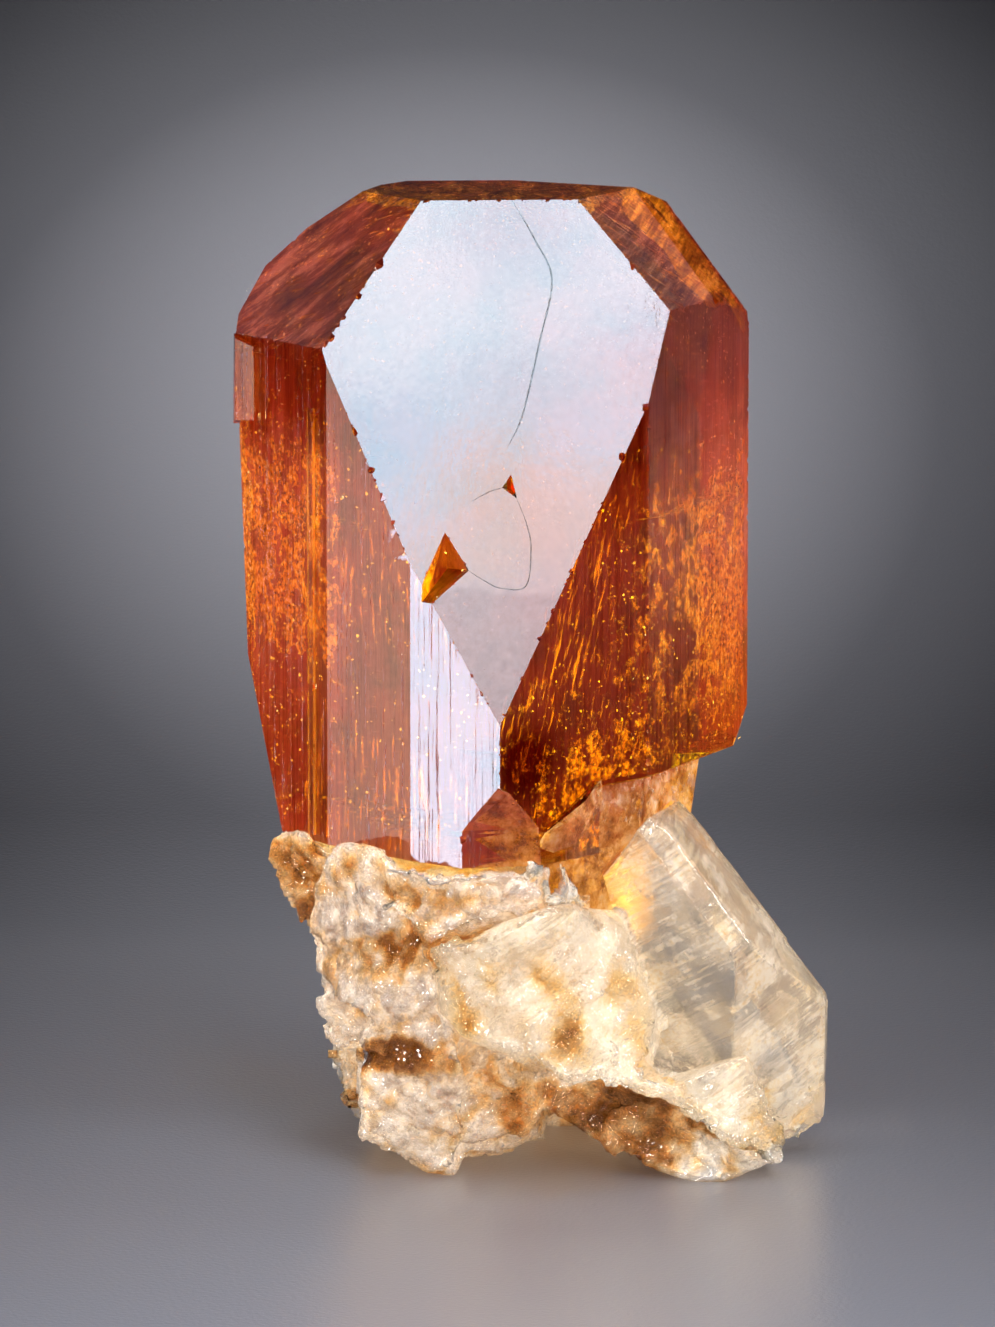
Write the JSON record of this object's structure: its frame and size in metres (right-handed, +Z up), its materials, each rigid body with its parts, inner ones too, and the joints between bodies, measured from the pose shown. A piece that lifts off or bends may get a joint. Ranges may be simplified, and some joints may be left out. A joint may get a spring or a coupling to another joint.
{
  "type": "topaz crystal specimen",
  "caption": "Prismatic brown gem crystal with a broad sloping front face, standing on a lump of pale broken quartz with a leaning quartz crystal grown against its foot.",
  "frame": {"origin": "on the surface that the specimen stands on, under the middle of its bounding box", "axes": "+Z up along the topaz's c axis, -Y towards the front, where the topaz's broad dome face looks, +X towards the side that the quartz crystal leans out to"},
  "size_m": [0.0536, 0.0546, 0.0863],
  "materials": {
    "topaz": "natural glossy crystal faces, transparent orange-brown with cloudy golden inclusions",
    "quartz": "natural crystal faces and glassy conchoidal fracture, pale and cloudy, stained yellow along its edges",
    "matrix": "broken translucent quartz, cream to grey, iron stained"
  },
  "bodies": {
    "root": {"topaz_crystal": "topaz", "quartz_crystal": "quartz", "quartz_matrix": "matrix"}
  },
  "joints": []
}
